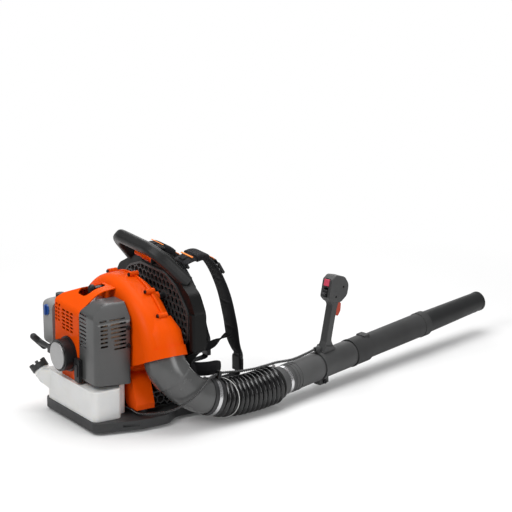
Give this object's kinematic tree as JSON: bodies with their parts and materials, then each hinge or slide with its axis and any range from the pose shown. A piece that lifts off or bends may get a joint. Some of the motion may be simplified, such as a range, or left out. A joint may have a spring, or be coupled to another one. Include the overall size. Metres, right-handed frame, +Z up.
{
  "type": "backpack leaf blower",
  "caption": "Backpack leaf blower: petrol engine and scroll fan on a padded back frame, with corrugated hose, long tube, control handle and pull starter",
  "frame": {"origin": "on the floor under the middle of the base plate", "axes": "+X is the operator's forward, +Y the operator's left, +Z up"},
  "size_m": [1.3785, 0.4593, 0.4719],
  "materials": {
    "orange_plastic": "smooth moulded orange nylon, slight sheen",
    "dark_plastic": "fine-grained dark grey nylon",
    "grey_plastic": "mid grey nylon",
    "black_plastic": "black nylon",
    "rubber": "black rubber",
    "bare_metal": "die-cast or pressed bare metal",
    "black_screws": "blackened steel",
    "muffler_metal": "heat-tinted steel",
    "ceramic": "glazed white ceramic",
    "tank_plastic": "translucent white polyethylene",
    "blue_plastic": "blue lever",
    "red_plastic": "red switch",
    "trigger_red": "ribbed orange-red trigger",
    "pad_fabric": "black padded nylon fabric",
    "web_fabric": "woven webbing and cord"
  },
  "bodies": {
    "unit": {"base_plate": "dark_plastic", "base_feet": "rubber", "back_frame": "dark_plastic", "intake_grille": "dark_plastic", "carry_handle": "dark_plastic", "av_mounts": "rubber", "fan_housing_rear": "orange_plastic", "fan_housing_front": "orange_plastic", "housing_screws": "black_screws", "crankcase": "bare_metal", "engine_cylinder": "bare_metal", "spark_plug": "ceramic", "plug_boot": "black_plastic", "muffler": "muffler_metal", "muffler_cover": "grey_plastic", "cover_screws": "black_screws", "engine_cover": "orange_plastic", "carburettor": "bare_metal", "air_filter_cover": "grey_plastic", "filter_knob": "dark_plastic", "starter_housing": "black_plastic", "starter_disc": "bare_metal", "connector_box": "black_plastic", "fuel_tank": "tank_plastic", "outlet_elbow": "grey_plastic", "hose_clamp_rear": "bare_metal", "hose_cuff_rear": "rubber", "hose_rear": "rubber", "cable_clip": "black_plastic", "cable_engine": "rubber", "back_pad": "pad_fabric", "hip_pad": "pad_fabric", "shoulder_strap_left": "pad_fabric", "shoulder_strap_right": "pad_fabric", "webbing": "web_fabric", "strap_buckles": "black_plastic"},
    "rotor": {"fan_impeller": "grey_plastic", "crankshaft": "bare_metal", "flywheel": "bare_metal"},
    "carry_lever": {"release_lever": "orange_plastic"},
    "choke": {"choke_lever": "blue_plastic"},
    "pull_starter": {"starter_handle": "dark_plastic", "starter_rope": "web_fabric"},
    "cap": {"fuel_cap": "dark_plastic"},
    "hose_mid": {"hose_middle": "rubber", "cable_hose": "rubber"},
    "wand": {"hose_front": "rubber", "hose_cuff_front": "rubber", "hose_clamp_front": "bare_metal", "blower_tube": "dark_plastic", "handle_bracket": "dark_plastic", "bracket_screw": "black_screws", "middle_tube": "dark_plastic", "grip_left": "dark_plastic", "grip_right": "dark_plastic", "cable_tube": "rubber"},
    "nozzle_end": {"nozzle": "dark_plastic"},
    "trigger": {"throttle_trigger": "trigger_red"},
    "kill_switch": {"stop_switch": "red_plastic"},
    "cruise": {"cruise_lever": "black_plastic"}
  },
  "joints": [
    {"name": "rotor_spin", "type": "hinge", "parent": "unit", "child": "rotor", "pos_m": [0, 0.027, 0.178], "axis": [1, 0, 0], "continuous": true},
    {"name": "release_lever_turn", "type": "hinge", "parent": "unit", "child": "carry_lever", "pos_m": [0.075, 0.012, 0.4], "axis": [0, 1, 0], "range_deg": [0, 40]},
    {"name": "choke_turn", "type": "hinge", "parent": "unit", "child": "choke", "pos_m": [-0.158, 0.137, 0.268], "axis": [1, 0, 0], "range_deg": [0, 75]},
    {"name": "starter_pull", "type": "slide", "parent": "unit", "child": "pull_starter", "axis": [0, 1, 0], "range_m": [0, 0.5], "stiffness_N_per_m": 12, "springref_m": -0.3, "deforming": ["starter_rope"]},
    {"name": "fuel_cap_turn", "type": "hinge", "parent": "unit", "child": "cap", "pos_m": [-0.172, 0.16, 0.108], "axis": [-0.2489, 0.6485, 0.7193], "range_deg": [0, 180]},
    {"name": "hose_swing", "type": "hinge", "parent": "unit", "child": "hose_mid", "pos_m": [0.19186, -0.18939, 0.05855], "axis": [0, 0, 1], "range_deg": [-20, 12], "deforming": ["hose_rear", "cable_hose"]},
    {"name": "hose_tilt", "type": "hinge", "parent": "hose_mid", "child": "wand", "pos_m": [0.334, -0.16741, 0.05683], "axis": [0.2157, -0.9765, 0], "range_deg": [0, 25], "deforming": ["hose_front", "cable_tube"]},
    {"name": "nozzle_turn", "type": "hinge", "parent": "wand", "child": "nozzle_end", "pos_m": [0.95012, 0.00211, 0.07966], "axis": [0.963, 0.2671, 0.0349], "range_deg": [0, 40]},
    {"name": "trigger_pull", "type": "hinge", "parent": "wand", "child": "trigger", "pos_m": [0.58191, -0.10001, 0.23231], "axis": [-0.2672, 0.9636, 0], "range_deg": [0, 12], "stiffness_Nm_per_rad": 0.4, "springref_deg": -17.19},
    {"name": "stop_switch_press", "type": "slide", "parent": "wand", "child": "kill_switch", "axis": [0.935, 0.2593, -0.2419], "range_m": [0, 0.0025], "stiffness_N_per_m": 800, "springref_m": -0.002},
    {"name": "cruise_turn", "type": "hinge", "parent": "wand", "child": "cruise", "pos_m": [0.55151, -0.10844, 0.26285], "axis": [-0.2672, 0.9636, 0], "range_deg": [0, 40]}
  ]
}
